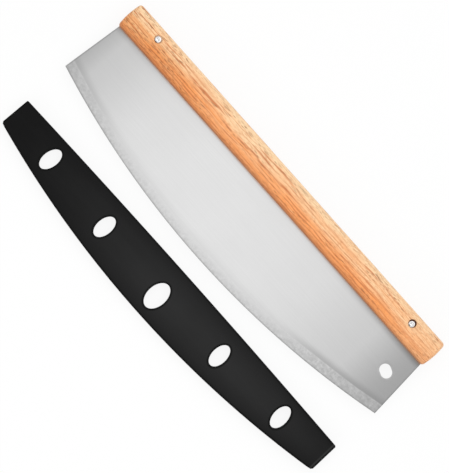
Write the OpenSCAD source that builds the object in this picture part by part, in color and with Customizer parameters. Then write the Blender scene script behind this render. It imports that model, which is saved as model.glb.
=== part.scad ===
// Rocking pizza knife: a long curved blade riveted into a wooden bar handle, with a slotted plastic
// sheath that is pulled straight off the edge and lies in line with the blade.
// X runs along the handle, +Y from the edge to the top of the handle, +Z out of the blade's front face.
// The origin is the centre of the handle's flat back.

/* [Handle] */
// How far each end of the bar stands past the blade, measured at its underside
handle_past = 2.3; // [0.5:0.1:12]
// Height of the bar, from its underside to its top
handle_h = 24; // [20:0.5:30]
// Thickness of the bar, from back to front
handle_t = 20; // [16:0.5:26]
// Radius of the four long edges
handle_round = 7; // [3:0.5:8]
// How far each end face bows out at its middle
end_bow = 1.2; // [0.4:0.1:3]
// Radius of the corners at the ends
end_corner = 2.7; // [1:0.1:5]
// Wood left above the saw kerf that holds the tang
kerf_roof = 4; // [3:0.5:6]
// Gap between tang and kerf, on each face and above the tang
kerf_play = 0.05; // [0.02:0.01:0.15]

/* [Blade] */
// Length of the blade between its two lower corners
blade_l = 355; // [300:5:420]
// Depth of the blade at its middle, from the handle's underside to the edge
blade_depth = 72.8; // [60:0.2:95]
// Radius of the curved edge
edge_r = 724; // [500:2:1200]
// Thickness of the steel
blade_t = 1.8; // [1.2:0.1:3]
// Lean of the blade's ends, in degrees, wider towards the edge
end_flare = 5.4; // [0:0.1:9]
// Width of the ground bevel along the edge
bevel_w = 7.5; // [3:0.5:14]
// Thickness left at the edge itself
edge_t = 0.2; // [0.1:0.05:0.6]

/* [Hanging hole] */
// Length of the oval hole
hole_l = 11.6; // [9.5:0.1:16]
// Width of the oval hole
hole_w = 9.1; // [5:0.1:9.4]
// Turn of the hole's long axis, in degrees, lower towards the blade's end
hole_turn = 22; // [0:1:45]
// From the hole's centre to the blade's lower right corner, along the handle
hole_inset = 18.5; // [14:0.5:30]
// From the hole's centre up to the handle's underside
hole_drop = 23; // [12:0.5:28]

/* [Rivets] */
// From each end of the handle to its rivet
rivet_inset = 30; // [15:0.5:60]
// From the top of the handle down to the rivets
rivet_drop = 8.7; // [8:0.1:11]
// Diameter of the rivet heads
head_d = 5.2; // [4.8:0.1:6.4]
// Thickness of the rivet heads
head_h = 1.2; // [0.8:0.1:1.6]
// Depth of the heads' outer faces below the wood
head_sunk = 0.9; // [0.4:0.1:1.6]
// Diameter of the counterbores
counterbore_d = 7.2; // [6.8:0.1:9]
// Outer diameter of the rivet's tube
tube_d = 4; // [3.6:0.1:4.4]
// Diameter of the rivet's solid pin
pin_d = 2.6; // [2:0.1:2.8]
// Diameter of the dimple in each head
dimple_d = 1.6; // [1:0.1:2]
// Radial gap round tube and pin
rivet_play = 0.05; // [0.02:0.01:0.1]

/* [Sheath] */
// Depth of the sheath at its middle
sheath_depth = 46.8; // [40:0.2:56]
// How much larger the belly's radius is than the edge's
belly_flatter = 114; // [20:2:200]
// Rise of the top edge at its middle over its ends
top_rise = 1.8; // [0.8:0.1:4]
// Lean of the sheath's ends, in degrees, wider towards the belly
sheath_flare = 1.8; // [0:0.1:5]
// Thickness of the two side walls
sheath_wall = 2; // [1.4:0.1:3]
// Thickness of the wall under the blade's edge
belly_wall = 2.2; // [1.6:0.1:4]
// Gap between the blade's faces and the side walls
slot_play = 0.3; // [0.2:0.05:0.6]
// Gap left at the middle of the edge when the sheath is home
seat_play = 0.5; // [0.2:0.1:2]
// Distance from the edge to the sheath where it lies pulled off
drawn_off = 15; // [5:0.5:40]
// Radius of the sheath's upper corners
top_corner = 1.2; // [0.6:0.1:3]
// Radius of the sheath's lower corners
belly_corner = 2.5; // [1:0.1:5]
// Radius of the rounded rims along the belly
rim_round = 1; // [0.4:0.1:1.2]

/* [Sheath windows] */
// Width of the four outer windows, along the sheath
window_w = 11.8; // [8:0.2:16]
// Height of the four outer windows
window_h = 20; // [12:0.2:22]
// Width of the middle window
mid_window_w = 15.2; // [8:0.2:20]
// Height of the middle window
mid_window_h = 23.8; // [14:0.2:26]
// From each end of the sheath to the middle of the outermost window
window_inset = 45.7; // [30:0.1:60]
// Lean of each window against its neighbour, in degrees
window_fan = 3.1; // [0:0.1:5]
// How far the middle window sits below mid-depth, where the others sit
mid_lower = 4; // [0:0.1:4.6]

/* [Grip ribs] */
// Width of the ribs inside the slot that grip the blade
rib_w = 3; // [1.5:0.5:6]
// Length of the ribs, along the way the sheath is pulled
rib_l = 22; // [10:1:26]
// From the sheath's top edge down to the ribs
rib_down = 3; // [2:0.5:6]
// Gap between each rib and the blade
rib_play = 0.05; // [0.02:0.01:0.1]

/* [Hidden] */

// Overrun of every cut past the face that it opens
over = 1;
// Sides of a small circle, and of the wide arcs of edge and belly
$fn = 64;
LONG_FN = 1440;
// Straight steps in a round corner, a bowed end, the sheath's top edge and a window's oval
CORNER_STEPS = 6;
BOW_STEPS = 10;
TOP_STEPS = 24;
OVAL_STEPS = 40;

// Heights along Y of the handle, the tang and the edge
handle_top = handle_h / 2;
handle_under = -handle_h / 2;
kerf_top = handle_top - kerf_roof;
tang_top = kerf_top - kerf_play;
edge_low = handle_under - blade_depth;

// The blade's middle plane, the centre of its edge's arc and its lower corners
blade_z = handle_t / 2;
edge_cy = edge_low + edge_r;
corner_x = blade_l / 2;
corner_y = edge_cy - sqrt(edge_r * edge_r - corner_x * corner_x);

// Half the blade's length at a height y, between its leaning ends
function blade_half(y) = corner_x - (y - corner_y) * tan(end_flare);

// Length of the handle over its bowed ends, and of the stretch between the rivets
handle_l = 2 * (blade_half(handle_under) + handle_past);
rivet_spacing = handle_l - 2 * rivet_inset;

// Rivets: their height, the floors that the heads bear on, and what the tube and pin leave free
rivet_y = handle_top - rivet_drop;
front_seat = handle_t - head_sunk - head_h;
back_seat = head_sunk + head_h;
tube_gap = 1;
pin_gap = 1;
bore_roof = 2;
dimple_depth = 0.4;
head_edge = 0.5;

// Sheath: its thickness, its slot, where it lies pulled off and the arcs of belly and top
slot_w = blade_t + 2 * slot_play;
sheath_t = slot_w + 2 * sheath_wall;
sheath_top = edge_low - drawn_off;
belly_low = sheath_top - sheath_depth;
belly_r = edge_r + belly_flatter;
belly_cy = belly_low + belly_r;
floor_r = belly_r - belly_wall;
end_x = blade_l / 2;
top_r = (end_x * end_x + top_rise * top_rise) / (2 * top_rise);
top_cy = sheath_top - top_r;
window_pitch = (end_x - window_inset) / 2;

// Heights of the sheath's top edge and belly at a place x along it
function top_at(x) = top_cy + sqrt(top_r * top_r - x * x);
function belly_at(x) = belly_cy - sqrt(belly_r * belly_r - x * x);

// Travel of the sheath along +Y, from where it lies to where it sits home on the blade
sheath_travel = drawn_off + sheath_depth - belly_wall - seat_play;
echo(sheath_travel = sheath_travel);

// A bar of l by h, centred: both short ends are bowed out by bow, as arcs that run into round corners
module bowed_bar(l, h, corner, bow) {
    bow_r = (h * h / 4 + bow * bow) / (2 * bow);
    bow_cx = l / 2 - bow_r;
    corner_cy = h / 2 - corner;
    reach = sqrt(pow(bow_r - corner, 2) - corner_cy * corner_cy);
    lean = atan2(corner_cy, reach);
    upper = [for (i = [0:CORNER_STEPS - 1]) let (t = 90 - (90 - lean) * i / CORNER_STEPS)
        [bow_cx + reach + corner * cos(t), corner_cy + corner * sin(t)]];
    bowed = [for (i = [0:BOW_STEPS]) let (t = lean - 2 * lean * i / BOW_STEPS)
        [bow_cx + bow_r * cos(t), bow_r * sin(t)]];
    lower = [for (i = [CORNER_STEPS - 1:-1:0]) [upper[i][0], -upper[i][1]]];
    right = concat(upper, bowed, lower);
    left = [for (i = [len(right) - 1:-1:0]) [-right[i][0], right[i][1]]];
    polygon(concat(right, left));
}

// The bar's cross-section: Y up the page, Z across, with four rounded corners
module handle_section() {
    square([handle_h, handle_t - 2 * handle_round], center = true);
    square([handle_h - 2 * handle_round, handle_t], center = true);
    for (y = [-1, 1], z = [-1, 1])
        translate([y * (handle_h / 2 - handle_round), z * (handle_t / 2 - handle_round)])
            circle(r = handle_round);
}

// One bar of wood: round in section, bowed at the ends, with a saw kerf and two stepped cross holes
module handle() {
    color("#e8b083")
        difference() {
            intersection() {
                translate([0, 0, blade_z])
                    rotate([90, 0, 90])
                        linear_extrude(handle_l, center = true)
                            handle_section();
                linear_extrude(handle_t)
                    bowed_bar(handle_l, handle_h, end_corner, end_bow);
                translate([0, handle_h / 2, blade_z])
                    rotate([90, 0, 0])
                        linear_extrude(handle_h)
                            bowed_bar(handle_l, handle_t, end_corner, end_bow);
            }
            translate([-handle_l / 2 - over, handle_under - over, blade_z - blade_t / 2 - kerf_play])
                cube([handle_l + 2 * over, kerf_top - handle_under + over, blade_t + 2 * kerf_play]);
            for (side = [-1, 1])
                translate([side * rivet_spacing / 2, rivet_y, 0]) {
                    translate([0, 0, -over])
                        cylinder(d = tube_d + 2 * rivet_play, h = handle_t + 2 * over);
                    translate([0, 0, -over])
                        cylinder(d = counterbore_d, h = back_seat + over);
                    translate([0, 0, front_seat])
                        cylinder(d = counterbore_d, h = handle_t - front_seat + over);
                }
        }
}

// The blade's outline with its leaning ends, cut straight at the tang and left long below the edge
module blade_outline() {
    low_y = edge_low - over;
    low_x = blade_half(low_y);
    top_x = blade_half(tang_top);
    polygon([[-low_x, low_y], [low_x, low_y], [top_x, tang_top], [-top_x, tang_top]]);
}

// An oval hole: two half circles joined by straight sides, along the X axis
module oval_hole(l, w, h) {
    for (side = [-1, 1])
        translate([side * (l - w) / 2, 0, 0])
            cylinder(d = w, h = h);
    translate([-(l - w) / 2, -w / 2, 0])
        cube([l - w, w, h]);
}

// A flat blank whose curved edge is ground from both faces: a thin disc with a bevelled rim, cut to the outline
module blade() {
    half = blade_t / 2;
    color("#d4d6d8")
        difference() {
            intersection() {
                translate([0, 0, blade_z - half])
                    linear_extrude(blade_t)
                        blade_outline();
                translate([0, edge_cy, blade_z])
                    rotate_extrude($fn = LONG_FN)
                        polygon([[0, -half], [edge_r - bevel_w, -half], [edge_r, -edge_t / 2],
                            [edge_r, edge_t / 2], [edge_r - bevel_w, half], [0, half]]);
            }
            for (side = [-1, 1])
                translate([side * rivet_spacing / 2, rivet_y, blade_z - half - over])
                    cylinder(d = tube_d + 2 * rivet_play, h = blade_t + 2 * over);
            translate([corner_x - hole_inset, handle_under - hole_drop, blade_z - half - over])
                rotate([0, 0, -hole_turn])
                    oval_hole(hole_l, hole_w, blade_t + 2 * over);
        }
}

// A rivet head standing on z = 0: a short cylinder with a softened edge and a dimple in its face
module rivet_head() {
    r = head_d / 2;
    rotate_extrude()
        polygon([[0, 0], [r, 0], [r, head_h - head_edge], [r - head_edge, head_h],
            [dimple_d / 2, head_h], [dimple_d / 4, head_h - dimple_depth], [0, head_h - dimple_depth]]);
}

// The tubular half of a rivet: its head bears on the front counterbore, its tube runs back through the tang
module rivet_socket(x) {
    tube_l = front_seat - back_seat - tube_gap;
    color("#c9cccf")
        translate([x, rivet_y, front_seat]) {
            rivet_head();
            translate([0, 0, -tube_l])
                difference() {
                    cylinder(d = tube_d, h = tube_l);
                    translate([0, 0, -over])
                        cylinder(d = pin_d + 2 * rivet_play, h = tube_l - bore_roof + over);
                }
        }
}

// The solid half of a rivet: its head bears on the back counterbore, its pin fills the tube
module rivet_pin(x) {
    pin_l = front_seat - back_seat - bore_roof - pin_gap;
    color("#c9cccf")
        translate([x, rivet_y, back_seat]) {
            mirror([0, 0, 1])
                rivet_head();
            cylinder(d = pin_d, h = pin_l);
        }
}

// Points of a rounded corner at p, where the sides leave along the unit vectors a and b
function corner_points(p, a, b, r) =
    let (
        opening = acos(a * b),
        centre = p + (a + b) / norm(a + b) * r / sin(opening / 2),
        first = p + a * r / tan(opening / 2) - centre,
        last = p + b * r / tan(opening / 2) - centre,
        start = atan2(first[1], first[0]),
        turn = atan2(first[0] * last[1] - first[1] * last[0], first * last)
    )
    [for (i = [0:CORNER_STEPS]) centre + r * [cos(start + turn * i / CORNER_STEPS),
        sin(start + turn * i / CORNER_STEPS)]];

// Right end of the sheath's outline, from the top edge's corner to the belly's. Past the belly's corner it
// leaves the belly's arc square to it, so that the arc itself stays whole.
function sheath_end() =
    let (
        up = [-sin(sheath_flare), cos(sheath_flare)],
        belly_p = [end_x, belly_at(end_x)],
        top_p = belly_p + up * (top_at(end_x) - belly_p[1]) / up[1],
        top_slope = asin(top_p[0] / top_r),
        belly_slope = asin(end_x / belly_r),
        top_in = [-cos(top_slope), sin(top_slope)],
        belly_in = [-cos(belly_slope), -sin(belly_slope)],
        belly_pts = corner_points(belly_p, up, belly_in, belly_corner)
    )
    concat(corner_points(top_p, top_in, -up, top_corner), belly_pts,
        [belly_pts[CORNER_STEPS] + [sin(belly_slope), -cos(belly_slope)] * sheath_depth]);

// The sheath seen from the front: leaning ends with rounded corners under a slightly bowed top edge,
// left long below the belly
module sheath_outline() {
    right = sheath_end();
    left = [for (i = [len(right) - 1:-1:0]) [-right[i][0], right[i][1]]];
    top = [for (i = [1:TOP_STEPS - 1]) let (x = right[0][0] * (2 * i / TOP_STEPS - 1)) [x, top_at(x)]];
    polygon(concat(right, left, top));
}

// One window, an ellipse of w by h cut through both walls
module window(w, h) {
    translate([0, 0, blade_z - sheath_t / 2 - over])
        linear_extrude(sheath_t + 2 * over)
            polygon([for (i = [0:OVAL_STEPS - 1]) [w / 2 * cos(360 * i / OVAL_STEPS),
                h / 2 * sin(360 * i / OVAL_STEPS)]]);
}

// The ribs inside the slot, two facing each other between every two windows
module grip_ribs() {
    thick = slot_play - rib_play;
    for (step = [-1.5:1:1.5], face = [-1, 1])
        translate([step * window_pitch - rib_w / 2, sheath_top - top_rise - rib_down - rib_l,
                blade_z + face * (slot_w / 2 - thick / 2 + over / 2) - (thick + over) / 2])
            cube([rib_w, rib_l, thick + over]);
}

// One moulding: a disc with a rounded rim and a slot, cut to the outline and pierced by five windows
module sheath() {
    half = sheath_t / 2;
    color("#26282b") {
        difference() {
            intersection() {
                translate([0, 0, blade_z - half])
                    linear_extrude(sheath_t)
                        sheath_outline();
                translate([0, belly_cy, blade_z])
                    rotate_extrude($fn = LONG_FN) {
                        translate([0, -half])
                            square([belly_r - rim_round, sheath_t]);
                        translate([0, rim_round - half])
                            square([belly_r, sheath_t - 2 * rim_round]);
                        for (face = [-1, 1])
                            translate([belly_r - rim_round, face * (half - rim_round)])
                                circle(r = rim_round);
                    }
            }
            difference() {
                translate([0, belly_cy, blade_z - slot_w / 2])
                    cylinder(r = floor_r, h = slot_w, $fn = LONG_FN);
                grip_ribs();
            }
            for (step = [-2:2]) {
                x = step * window_pitch;
                middle = step == 0;
                translate([x, (top_at(x) + belly_at(x)) / 2 - (middle ? mid_lower : 0), 0])
                    rotate([0, 0, step * window_fan])
                        window(middle ? mid_window_w : window_w, middle ? mid_window_h : window_h);
            }
        }
    }
}

handle();
blade();
rivet_socket(-rivet_spacing / 2);  // left_rivet_socket
rivet_pin(-rivet_spacing / 2);  // left_rivet_pin
rivet_socket(rivet_spacing / 2);  // right_rivet_socket
rivet_pin(rivet_spacing / 2);  // right_rivet_pin
sheath();
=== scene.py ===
from functools import partial
import math

import bmesh
import bpy
import numpy as np
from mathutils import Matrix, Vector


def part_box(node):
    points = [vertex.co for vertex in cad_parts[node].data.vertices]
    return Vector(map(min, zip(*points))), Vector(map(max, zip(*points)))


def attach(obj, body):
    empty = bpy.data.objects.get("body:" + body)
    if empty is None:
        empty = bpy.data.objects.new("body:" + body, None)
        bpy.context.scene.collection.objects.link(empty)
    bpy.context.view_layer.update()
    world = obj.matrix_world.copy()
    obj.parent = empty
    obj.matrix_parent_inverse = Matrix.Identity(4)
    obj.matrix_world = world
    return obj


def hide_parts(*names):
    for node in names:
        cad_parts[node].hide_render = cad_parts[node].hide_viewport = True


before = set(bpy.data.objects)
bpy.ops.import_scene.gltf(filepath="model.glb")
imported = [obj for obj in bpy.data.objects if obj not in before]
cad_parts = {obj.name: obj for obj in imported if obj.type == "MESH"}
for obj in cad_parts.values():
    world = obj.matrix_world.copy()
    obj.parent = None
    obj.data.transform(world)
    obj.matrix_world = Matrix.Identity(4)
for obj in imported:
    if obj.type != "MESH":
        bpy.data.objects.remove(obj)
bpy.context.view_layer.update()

# Sizes are in millimetres, as on a drawing. X runs along the handle, Y from the edge up to the handle's
# top and Z out of the blade's front face, with the blade's middle plane at MID_Z.
MM = 0.001


# Handle: one bar of pale orange, open-pored hardwood, sawn to length, routed round and sanded by hand.
# A saw kerf along its underside takes the tang. Two stepped cross holes take the rivets.

low, high = (np.array(corner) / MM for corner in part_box("handle"))
HALF_L = high[0]
HALF_H = high[1]
HALF_T = (high[2] - low[2]) / 2
MID_Z = (high[2] + low[2]) / 2
SQUARENESS = 3.4          # power of the section's rounded square: 2 is an oval, higher is squarer
END_ROUND = 2.7           # rounding between the sides and the ends
DOME_Y = 121.2            # bow of the ends seen from the front, as twice its radius
DOME_Z = 84.5             # the same seen from above
KERF_HALF = 0.95
KERF_TOP = 8.0
RIVET_X = HALF_L - 30
RIVET_Y = 3.3
SHANK_R = 2.05            # cross hole round the rivet's tube
SHANK_ROUND = 0.1         # its edge in the counterbore's floor
HEAD_SEAT = 7.9           # floor of the counterbores, from the middle plane
SEAT_ROUND = 0.15         # corner between that floor and the wall
SINK_R = 3.3              # counterbores, inside their worn rims
SINK_ROUND = 0.3
SINK_OFF = {-1: (0.15, 0.45), 1: (-0.05, 0.68)}      # from the left and the right rivet
SANDING = 0.12            # how far hand sanding has gone off the straight line

# The block of cells round the right cross hole along X and Y, and its place on the grids
HOLE_ALONG = (139.6, 150.4)
HOLE_UP = (-1.2, 7.6)
PLAIN_STEPS = 28
HOLE_STEPS = 12
HOLE_COLUMNS = (17, 29)

RING_GAP = 1.9            # from one fine dark growth line to the next
ABOVE_PITH = (0, 52, 38)  # from the middle of the tree to the middle of the bar
PORE_REACH = 0.36         # of a pore from its middle, as a share of the gap between pores
# Tones of the top and the bottom: the wood's own sapwood and heartwood, with painted light on the top and
# painted shade towards the blade
LIT_SAPWOOD = (0.965, 0.70, 0.42)
SHADED_HEARTWOOD = (0.955, 0.365, 0.112)
DARK_FIBRE = (0.66, 0.27, 0.10)
PALE_FIBRE = (0.98, 0.72, 0.45)
GROWTH_LINE = (0.58, 0.17, 0.048)
FLECK = (0.55, 0.21, 0.07)
PORE = (0.27, 0.10, 0.04)
OILY = (0.78, 0.60, 0.30)
# Painted shade on the lip over the blade and on the underside beside it
LIP_SHADE = (0.46, 0.13, 0.03)
UNDERSIDE_SHADE = (0.26, 0.09, 0.04)


class Shell:
    """Points and faces gathered as whole arrays until they are joined into one mesh."""

    def __init__(self):
        self.points = []
        self.faces = []
        self.count = 0

    def place(self, points):
        """Takes an array of points in mm, and gives back their numbers in an array of the same form."""
        numbers = self.count + np.arange(points[..., 0].size).reshape(points.shape[:-1])
        self.points.append(points.reshape(-1, 3))
        self.count += numbers.size
        return numbers

    def skin(self, rows, left_out=()):
        """Lays a four-cornered face between every point of a grid and its next neighbours both ways.
        Each block in left_out, as (first row, last row, first column, last column), stays open."""
        quads = np.stack([rows[:-1, :-1], rows[1:, :-1], rows[1:, 1:], rows[:-1, 1:]], axis=-1)
        keep = np.ones(quads.shape[:2], bool)
        for first_row, last_row, first, last in left_out:
            keep[first_row:last_row, first:last] = False
        self.faces.append(quads[keep])

    def sleeve(self, rings):
        """Joins closed rings of equally many numbers into one skin."""
        rows = np.stack(rings)
        self.skin(np.concatenate([rows, rows[:, :1]], axis=1))

    def bridge(self, first, rings, last):
        """Joins two borders that are placed already by rings of points between them."""
        self.sleeve([first, *(self.place(ring) for ring in rings), last])

    def piece(self, name, crease=32):
        """Makes the mesh: points that fall together are merged, the closed skin is faced outwards, and
        only edges that bend by more than crease degrees stay hard."""
        mesh = bpy.data.meshes.new(name)
        mesh.from_pydata(np.concatenate(self.points) * MM, [], np.concatenate(self.faces))
        work = bmesh.new()
        work.from_mesh(mesh)
        bmesh.ops.remove_doubles(work, verts=work.verts, dist=0.0005 * MM)
        bmesh.ops.recalc_face_normals(work, faces=work.faces)
        work.to_mesh(mesh)
        work.free()
        mesh.shade_smooth()
        mesh.set_sharp_from_angle(angle=math.radians(crease))
        piece = bpy.data.objects.new(name, mesh)
        bpy.context.scene.collection.objects.link(piece)
        return piece


def border(rows, block):
    """The numbers on the border of a block of a grid, once round."""
    first_row, last_row, first, last = block
    return np.concatenate([
        rows[first_row, first:last],
        rows[first_row:last_row, last],
        rows[last_row, last:first:-1],
        rows[last_row:first_row:-1, first],
    ])


def around(middle, radius, angles, z):
    """A ring of points about a middle: the radius may change with the angle, z from point to point."""
    x = middle[0] + radius * np.cos(angles)
    y = middle[1] + radius * np.sin(angles)
    return np.stack([x, y, z + 0 * x], axis=-1)


def angles_about(middle, points):
    """The direction of each point from a middle, seen from the front."""
    return np.arctan2(points[:, 1] - middle[1], points[:, 0] - middle[0])


def quarter(steps):
    """Sines and cosines at even steps of a quarter turn, without its start."""
    turn = np.linspace(0, math.pi / 2, steps + 1)[1:]
    return np.stack([np.sin(turn), np.cos(turn)], axis=-1)


def stations(start, *runs):
    """Places from a start through runs of even steps, each run as (end, steps)."""
    places = [np.array([start])]
    for end, steps in runs:
        places.append(np.linspace(places[-1][-1], end, steps + 1)[1:])
    return np.concatenate(places)


def sanded(x):
    """Share of the full section left at each x: slow waves that the sanding drum has left. Their sum lies
    between 2.2 and -2.2."""
    wave = np.sin(x / 23 + 0.6) + 0.7 * np.sin(x / 9.5 + 2.1) + 0.5 * np.sin(x / 51)
    return 1 - SANDING * (2.2 + wave) / 4.4 / HALF_H


def section_face(side, half_side, half_out):
    """Height of the section's skin where |y/h|^n + |z/t|^n = 1, at a distance along one of its axes."""
    return half_out * (1 - np.abs(side / half_side) ** SQUARENESS) ** (1 / SQUARENESS)


def bar_section():
    """The section from the kerf's front lip over the underside, front, top and back to its back lip, as
    (y, z) pairs: worked out along z on the underside and top, and along y on the front and back."""
    knee = 0.5 ** (1 / SQUARENESS)
    z_low = np.linspace(KERF_HALF, knee * HALF_T, 9)
    y_face = np.linspace(-knee * HALF_H, knee * HALF_H, 23)
    z_top = np.linspace(knee * HALF_T, -knee * HALF_T, 17)
    y_low = section_face(z_low, HALF_T, HALF_H)
    z_face = section_face(y_face, HALF_H, HALF_T)
    return np.concatenate([
        np.column_stack([-y_low, z_low])[:-1],
        np.column_stack([y_face, z_face])[:-1],
        np.column_stack([section_face(z_top, HALF_T, HALF_H), z_top])[:-1],
        np.column_stack([y_face, -z_face])[:0:-1],
        np.column_stack([-y_low, -z_low])[::-1],
    ])


def kerf_section():
    """The kerf from its front lip up the front wall, across its roof and down to the back lip, with as
    many points as the bar's section, so that the two can be joined rung by rung across the ends."""
    y_wall = stations(-HALF_H, (HOLE_UP[0], HOLE_COLUMNS[0]),
                      (HOLE_UP[1], HOLE_COLUMNS[1] - HOLE_COLUMNS[0]), (KERF_TOP, 1))
    z_roof = np.linspace(KERF_HALF, -KERF_HALF, 17)
    return np.concatenate([
        np.column_stack([y_wall, KERF_HALF + 0 * y_wall])[:-1],
        np.column_stack([KERF_TOP + 0 * z_roof, z_roof])[:-1],
        np.column_stack([y_wall, -KERF_HALF + 0 * y_wall])[::-1],
    ])


def end_dome(y, z):
    """How far along X an end reaches: the half length less a shallow bowl in y and z."""
    return HALF_L - y * y / DOME_Y - z * z / DOME_Z


def both_ends(x, yz, worn):
    """Mirrors the right half of a skin to the left, and sands it down a little where it is worn."""
    x = np.concatenate([-x[:0:-1], x])
    yz = np.concatenate([yz[:0:-1], yz])
    if worn:
        yz = yz * sanded(x)[..., None]
        yz[:, 0, 1] = KERF_HALF
        yz[:, -1, 1] = -KERF_HALF
    return np.stack([x, yz[..., 0], yz[..., 1] + MID_Z], axis=-1)


def handle_skins():
    """The section carried along X, with its ends rounded over and domed, and the kerf carried beside it."""
    outer = bar_section()
    inner = kerf_section()
    half = (HALF_H, HALF_T)
    normal = np.sign(outer) * np.abs(outer / half) ** (SQUARENESS - 1) / half
    normal /= np.linalg.norm(normal, axis=1)[:, None]
    centre = outer - END_ROUND * normal
    lean = np.arctan(2 * centre[:, 0] / DOME_Y * normal[:, 0] + 2 * centre[:, 1] / DOME_Z * normal[:, 1])
    last = centre + END_ROUND * np.sin(lean)[:, None] * normal
    centre_x = end_dome(last[:, 0], last[:, 1]) - END_ROUND * np.cos(lean)

    # Right half of the body: close stations at the rivet, and a last stretch that takes up the ends' shape
    hole_from, hole_to = HOLE_ALONG
    right = stations(0, (hole_from, PLAIN_STEPS), (hole_to, HOLE_STEPS))
    stretch = hole_to + np.linspace(0, 1, 6)[1:, None] * (centre_x - hole_to)
    body_x = np.concatenate([right[:, None] + 0 * centre_x, stretch])
    round_share = np.linspace(0, 1, 8)[1:, None]
    turns = math.pi / 2 + (lean - math.pi / 2) * round_share
    round_x = centre_x + END_ROUND * np.cos(turns)
    round_yz = centre + END_ROUND * np.sin(turns)[..., None] * normal
    outer_x = np.concatenate([body_x, round_x])
    outer_yz = np.concatenate([np.broadcast_to(outer, body_x.shape + (2,)), round_yz])

    # The kerf's grid keeps to the lip and ends where its walls meet the domed end
    lip_x = outer_x[:, :1]
    lip_y = outer_yz[:, :1, 0]
    share = (inner[:, 0] + HALF_H) / (KERF_TOP + HALF_H)
    inner_y = lip_y + share * (KERF_TOP - lip_y)
    past = np.concatenate([np.zeros((len(body_x), 1)), round_share])
    inner_x = lip_x + past * (end_dome(inner_y[-1], inner[:, 1]) - lip_x[-1])
    inner_yz = np.stack([inner_y, np.broadcast_to(inner[:, 1], inner_y.shape)], axis=-1)

    skin = both_ends(outer_x, outer_yz, True)
    walls = both_ends(inner_x, inner_yz, False)
    walls[:, 0] = skin[:, 0]
    walls[:, -1] = skin[:, -1]
    return skin, walls


def on_skin(ring, face, down):
    """Moves a ring to a depth below the skin of the bar's front (face 1) or back (face -1)."""
    left = sanded(ring[:, 0])
    height = left * section_face(ring[:, 1] / left, HALF_H, HALF_T)
    ring[:, 2] = MID_Z + face * (height - down)
    return ring


def cross_hole(side, face, edge, wall_edge):
    """Rings about a rivet's axis from a block of the skin over the counterbore's worn rim to its floor, the
    shank's hole and the kerf's wall. The drilled counterbores sit a little off the rivets."""
    spot = np.array([side * RIVET_X, RIVET_Y])
    sink = spot + np.multiply(SINK_OFF[side], (1, 1 if face > 0 else 0.4))
    angles = angles_about(sink, edge)
    start = around(sink, SINK_R + SINK_ROUND, angles, 0)
    rings = [on_skin((edge + start) / 2, face, 0), on_skin(start, face, 0)]
    for sine, cosine in quarter(4):
        rim = around(sink, SINK_R + SINK_ROUND * (1 - sine), angles, 0)
        rings.append(on_skin(rim, face, SINK_ROUND * (1 - cosine)))
    seat = MID_Z + face * HEAD_SEAT
    rings.append(around(sink, SINK_R, angles, seat + face * SEAT_ROUND))
    rings.append(around(sink, SINK_R - SEAT_ROUND, angles, seat))
    rings.append(around(spot, SHANK_R + SHANK_ROUND, angles, seat))
    rings.append(around(spot, SHANK_R, angles, seat - face * SHANK_ROUND))
    rings.append(around(spot, SHANK_R, angles, MID_Z + face * KERF_HALF))
    rings.append((rings[-1] + wall_edge) / 2)
    return rings


def handle_shell():
    """Both skins, joined by rungs across the ends and by rings through the cross holes."""
    shell = Shell()
    skin, walls = handle_skins()
    skin_rows = shell.place(skin)
    wall_rows = shell.place(walls)
    for end in (0, -1):
        rung = np.linspace(0, 1, 11)[:, None, None]
        across = skin[end][:, 1:] * (1 - rung) + walls[end][:, 1:] * rung
        reach = end_dome(across[..., 0], across[..., 1] - MID_Z)
        cap = np.concatenate([(reach if end else -reach)[..., None], across], axis=-1)
        cap[0] = skin[end]
        cap[-1] = walls[end]
        shell.skin(shell.place(cap))

    middle_row = len(skin) // 2
    last_column = skin.shape[1] - 1
    blocks = []
    for side in (-1, 1):
        rows = sorted(middle_row + side * steps for steps in (PLAIN_STEPS, PLAIN_STEPS + HOLE_STEPS))
        for face in (1, -1):
            columns = sorted(column if face > 0 else last_column - column for column in HOLE_COLUMNS)
            block = (*rows, *columns)
            blocks.append(block)
            from_skin = border(skin_rows, block)
            from_wall = border(wall_rows, block)
            edge = skin.reshape(-1, 3)[from_skin]
            wall_edge = walls.reshape(-1, 3)[from_wall - wall_rows[0, 0]]
            shell.bridge(from_skin, cross_hole(side, face, edge, wall_edge), from_wall)
    shell.skin(skin_rows, blocks)
    shell.skin(wall_rows, blocks)
    return shell


wood_bar = handle_shell().piece("wooden_bar", crease=40)
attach(wood_bar, "knife")
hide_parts("handle")


def feed(socket, value):
    """Links an input to another node's output, or sets it to a number, a place or a colour's triple."""
    if isinstance(value, bpy.types.NodeSocket):
        socket.id_data.links.new(value, socket)
    elif socket.type == "RGBA":
        socket.default_value = (*value, 1)
    else:
        socket.default_value = value


def node(tree, kind, inputs=(), **settings):
    """Adds a node: settings are its own, and inputs gives what feeds its inputs by name or number."""
    made = tree.nodes.new(kind)
    for name, value in settings.items():
        setattr(made, name, value)
    for name, value in dict(inputs).items():
        feed(made.inputs[name], value)
    return made


def tree_of(*values):
    """The node tree that the first socket among some values belongs to."""
    return next(value.id_data for value in values if isinstance(value, bpy.types.NodeSocket))


def step(operation, *values, clamp=False):
    """One step of arithmetic on numbers, each a socket or a plain one."""
    made = node(tree_of(*values), "ShaderNodeMath", enumerate(values), operation=operation, use_clamp=clamp)
    return made.outputs[0]


plus = partial(step, "ADD")
minus = partial(step, "SUBTRACT")
times = partial(step, "MULTIPLY")
over = partial(step, "DIVIDE")
times_plus = partial(step, "MULTIPLY_ADD")
most = partial(step, "MAXIMUM")
least = partial(step, "MINIMUM")
size_of = partial(step, "ABSOLUTE")


def hypotenuse(first, second):
    """The root of the sum of two squares."""
    return step("SQRT", plus(times(first, first), times(second, second)))


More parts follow.
